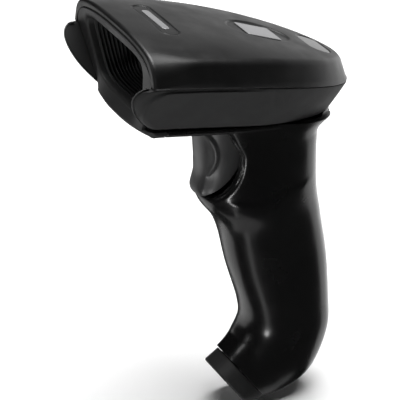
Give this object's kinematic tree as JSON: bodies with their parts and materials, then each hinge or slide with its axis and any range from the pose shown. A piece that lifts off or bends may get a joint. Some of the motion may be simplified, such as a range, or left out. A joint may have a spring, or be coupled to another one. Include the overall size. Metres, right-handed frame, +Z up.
{
  "type": "handheld barcode scanner",
  "caption": "Pistol-grip linear barcode scanner with a deep nose opening, rubber side bumper, sprung finger trigger and an angled cable socket in the foot of the handle.",
  "frame": {"origin": "middle of the underside of the scanner's box, below the grip, in the plane of symmetry", "axes": "+Z up along the upright handle, -Y the way the nose looks, X across; the part is symmetric about X = 0 outside"},
  "size_m": [0.064, 0.0932, 0.1632],
  "materials": {
    "satin_black": "satin, fine moulded grain",
    "gloss_black": "polished black, soft reflections",
    "charcoal_rubber": "matt over-moulded rubber",
    "matte_black": "matt, fine grain",
    "trigger_grey": "satin",
    "badge_grey": "dull printed metal film, blank",
    "smoked_lens": "dark translucent lens",
    "window_red": "dark red filter",
    "clear_lens": "clear",
    "board_green": "solder mask",
    "chip_black": "moulded epoxy",
    "led_yellow": "phosphor",
    "steel": "zinc plated",
    "flex_amber": "polyimide film"
  },
  "bodies": {
    "scanner": {"top_cover": "satin_black", "handle_housing": "gloss_black", "side_bumper": "charcoal_rubber", "nose_bezel": "matte_black", "light_baffle": "matte_black", "front_nameplate": "badge_grey", "rear_badge": "badge_grey", "status_lens": "smoked_lens", "cover_screw_1": "steel", "cover_screw_2": "steel", "window_gasket": "charcoal_rubber", "exit_window": "window_red", "led_lens_bar": "clear_lens", "led_board": "board_green", "led_1": "led_yellow", "led_2": "led_yellow", "led_3": "led_yellow", "led_4": "led_yellow", "optics_chassis": "matte_black", "lens_barrel": "chip_black", "objective_lens": "clear_lens", "sensor_board": "board_green", "line_sensor": "chip_black", "main_board": "board_green", "decoder_chip": "chip_black", "buzzer": "chip_black", "status_led": "led_yellow", "board_screw_1": "steel", "board_screw_2": "steel", "light_pipe": "clear_lens", "trigger_pin": "steel", "handle_board": "board_green", "trigger_switch": "chip_black", "ribbon_cable": "flex_amber", "socket_harness": "charcoal_rubber", "socket_collar": "matte_black", "cable_socket": "chip_black"},
    "trigger": {"trigger": "trigger_grey", "trigger_spring": "steel"},
    "plunger": {"switch_plunger": "matte_black"}
  },
  "joints": [
    {"name": "trigger_hinge", "type": "hinge", "parent": "scanner", "child": "trigger", "pos_m": [0, -0.00145, 0.1172], "axis": [1, 0, 0], "range_deg": [0, 4], "stiffness_Nm_per_rad": 0.3, "springref_deg": -11.46},
    {"name": "plunger_slide", "type": "slide", "parent": "scanner", "child": "plunger", "axis": [0, 1, 0], "range_m": [0, 0.002]}
  ],
  "couplings": [
    {"joint": "plunger_slide", "follows": "trigger_hinge", "m_per_rad": 0.0214}
  ]
}
